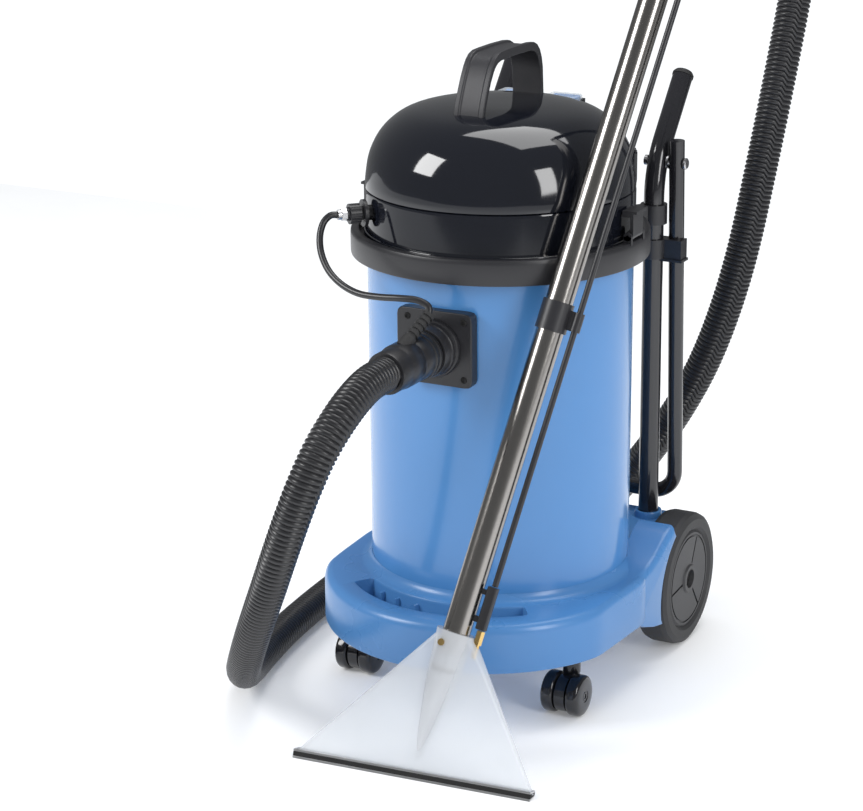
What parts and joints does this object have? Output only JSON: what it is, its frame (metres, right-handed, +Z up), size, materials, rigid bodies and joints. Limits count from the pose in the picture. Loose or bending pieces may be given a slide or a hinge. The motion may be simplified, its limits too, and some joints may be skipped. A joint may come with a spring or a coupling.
{
  "type": "carpet cleaner machine",
  "caption": "Wheeled tub carpet cleaner: tall blue drum, domed black motor head with carry handle, fold-down push handle, castors, and an extraction wand on a corrugated hose.",
  "frame": {"origin": "on the drum's axis at floor level", "axes": "+Z up; -Y to the front, where the castors and the hose inlet are; +X to the right seen from the front, where the wand leans"},
  "size_m": [0.5626, 0.8643, 1.1075],
  "materials": {
    "chassis_blue": "satin moulded blue plastic",
    "drum_blue": "smooth blue plastic",
    "black_satin": "satin black plastic",
    "black_gloss": "gloss black plastic",
    "black_tube": "gloss black paint",
    "rubber_black": "matt rubber",
    "hose_black": "corrugated black plastic",
    "grey_plastic": "matt dark grey plastic",
    "hub_grey": "matt dark grey plastic",
    "tyre_grey": "matt solid tyre",
    "stainless": "polished stainless tube",
    "steel": "plain steel",
    "brass": "turned brass",
    "clear": "clear plastic",
    "tank_white": "milky plastic",
    "switch_blue": "blue rocker under a clear cover",
    "red_plastic": "red plastic",
    "motor_grey": "plain grey",
    "float_orange": "plain plastic",
    "alu": "plain"
  },
  "bodies": {
    "machine": {"chassis": "chassis_blue", "drum": "drum_blue", "rim_ring": "black_satin", "inlet_plate": "black_satin", "inlet_screws": "black_satin", "inlet_collar": "black_satin", "hose_cuff_inlet": "hose_black", "vacuum_hose": "hose_black", "hose_cuff_wand": "hose_black", "solution_hose": "hose_black", "solution_boot": "rubber_black", "coupling_plug": "steel", "solution_tank": "tank_white", "post_left": "black_tube", "post_right": "black_tube", "post_caps": "rubber_black", "post_brackets": "black_satin", "handle_clips": "black_satin", "pivot_bolts": "steel", "rear_axle": "steel", "axle_caps": "steel", "wand_lower": "stainless", "wand_upper": "stainless", "wand_collar": "black_satin", "wand_grip": "rubber_black", "trigger_valve": "black_satin", "solution_pipe": "black_satin", "jet_valve": "black_satin", "brass_fittings": "brass", "nozzle_body": "clear", "nozzle_lip": "black_satin"},
    "head": {"head_band": "black_gloss", "head_dome": "black_gloss", "head_seal": "rubber_black", "carry_handle": "grey_plastic", "switch_panel": "black_satin", "cable_gland": "black_satin", "motor": "motor_grey", "pump": "motor_grey", "float_cage": "tank_white", "coupling_socket": "black_satin"},
    "rocker_vacuum": {"rocker_vacuum": "switch_blue"},
    "rocker_pump": {"rocker_pump": "switch_blue"},
    "coupling_sleeve": {"coupling_sleeve": "black_satin"},
    "trigger": {"trigger": "red_plastic"},
    "fan": {"fan": "alu"},
    "float": {"float_ball": "float_orange"},
    "latch_left": {"latch_left": "black_satin"},
    "latch_right": {"latch_right": "black_satin"},
    "fold_handle": {"fold_handle": "black_tube"},
    "wheel_left": {"tyre_left": "tyre_grey", "hub_left": "hub_grey"},
    "wheel_right": {"tyre_right": "tyre_grey", "hub_right": "hub_grey"},
    "castor_left": {"castor_left": "black_satin"},
    "castor_right": {"castor_right": "black_satin"},
    "castor_wheel_lo": {"castor_wheel_lo": "black_satin"},
    "castor_wheel_li": {"castor_wheel_li": "black_satin"},
    "castor_wheel_ri": {"castor_wheel_ri": "black_satin"},
    "castor_wheel_ro": {"castor_wheel_ro": "black_satin"}
  },
  "joints": [
    {"name": "head_lift", "type": "slide", "parent": "machine", "child": "head", "axis": [0, 0, 1], "range_m": [0, 0.28]},
    {"name": "latch_left_hinge", "type": "hinge", "parent": "machine", "child": "latch_left", "pos_m": [-0.172, 0, 0.565], "axis": [0, -1, 0], "range_deg": [0, 90]},
    {"name": "latch_right_hinge", "type": "hinge", "parent": "machine", "child": "latch_right", "pos_m": [0.172, 0, 0.565], "axis": [0, 1, 0], "range_deg": [0, 90]},
    {"name": "rocker_vacuum_hinge", "type": "hinge", "parent": "head", "child": "rocker_vacuum", "pos_m": [-0.032, 0.105, 0.687], "axis": [1, 0, 0], "range_deg": [-8, 8]},
    {"name": "rocker_pump_hinge", "type": "hinge", "parent": "head", "child": "rocker_pump", "pos_m": [0.032, 0.105, 0.687], "axis": [1, 0, 0], "range_deg": [-8, 8]},
    {"name": "sleeve_slide", "type": "slide", "parent": "head", "child": "coupling_sleeve", "axis": [0.6947, 0.7193, 0], "range_m": [0, 0.0025], "stiffness_N_per_m": 400},
    {"name": "handle_fold", "type": "hinge", "parent": "machine", "child": "fold_handle", "pos_m": [0, 0.198, 0.606], "axis": [1, 0, 0], "range_deg": [0, 142], "deforming": ["vacuum_hose"]},
    {"name": "wheel_left_spin", "type": "hinge", "parent": "machine", "child": "wheel_left", "pos_m": [-0.165, 0.163, 0.084], "axis": [1, 0, 0], "continuous": true},
    {"name": "wheel_right_spin", "type": "hinge", "parent": "machine", "child": "wheel_right", "pos_m": [0.165, 0.163, 0.084], "axis": [1, 0, 0], "continuous": true},
    {"name": "castor_left_swivel", "type": "hinge", "parent": "machine", "child": "castor_left", "pos_m": [-0.14, -0.09, 0.07], "axis": [0, 0, 1], "continuous": true},
    {"name": "castor_right_swivel", "type": "hinge", "parent": "machine", "child": "castor_right", "pos_m": [0.14, -0.09, 0.07], "axis": [0, 0, 1], "continuous": true},
    {"name": "castor_wheel_lo_spin", "type": "hinge", "parent": "castor_left", "child": "castor_wheel_lo", "pos_m": [-0.1565, -0.105, 0.025], "axis": [1, 0, 0], "continuous": true},
    {"name": "castor_wheel_li_spin", "type": "hinge", "parent": "castor_left", "child": "castor_wheel_li", "pos_m": [-0.1235, -0.105, 0.025], "axis": [1, 0, 0], "continuous": true},
    {"name": "castor_wheel_ri_spin", "type": "hinge", "parent": "castor_right", "child": "castor_wheel_ri", "pos_m": [0.1235, -0.105, 0.025], "axis": [1, 0, 0], "continuous": true},
    {"name": "castor_wheel_ro_spin", "type": "hinge", "parent": "castor_right", "child": "castor_wheel_ro", "pos_m": [0.1565, -0.105, 0.025], "axis": [1, 0, 0], "continuous": true},
    {"name": "trigger_hinge", "type": "hinge", "parent": "machine", "child": "trigger", "pos_m": [0.25481, 0.04329, 0.96804], "axis": [-0.07, 0.931, -0.3584], "range_deg": [0, 5], "stiffness_Nm_per_rad": 0.6},
    {"name": "fan_spin", "type": "hinge", "parent": "head", "child": "fan", "pos_m": [0, 0, 0.58], "axis": [0, 0, 1], "continuous": true},
    {"name": "float_rise", "type": "slide", "parent": "head", "child": "float", "axis": [0, 0, 1], "range_m": [0, 0.04]}
  ]
}
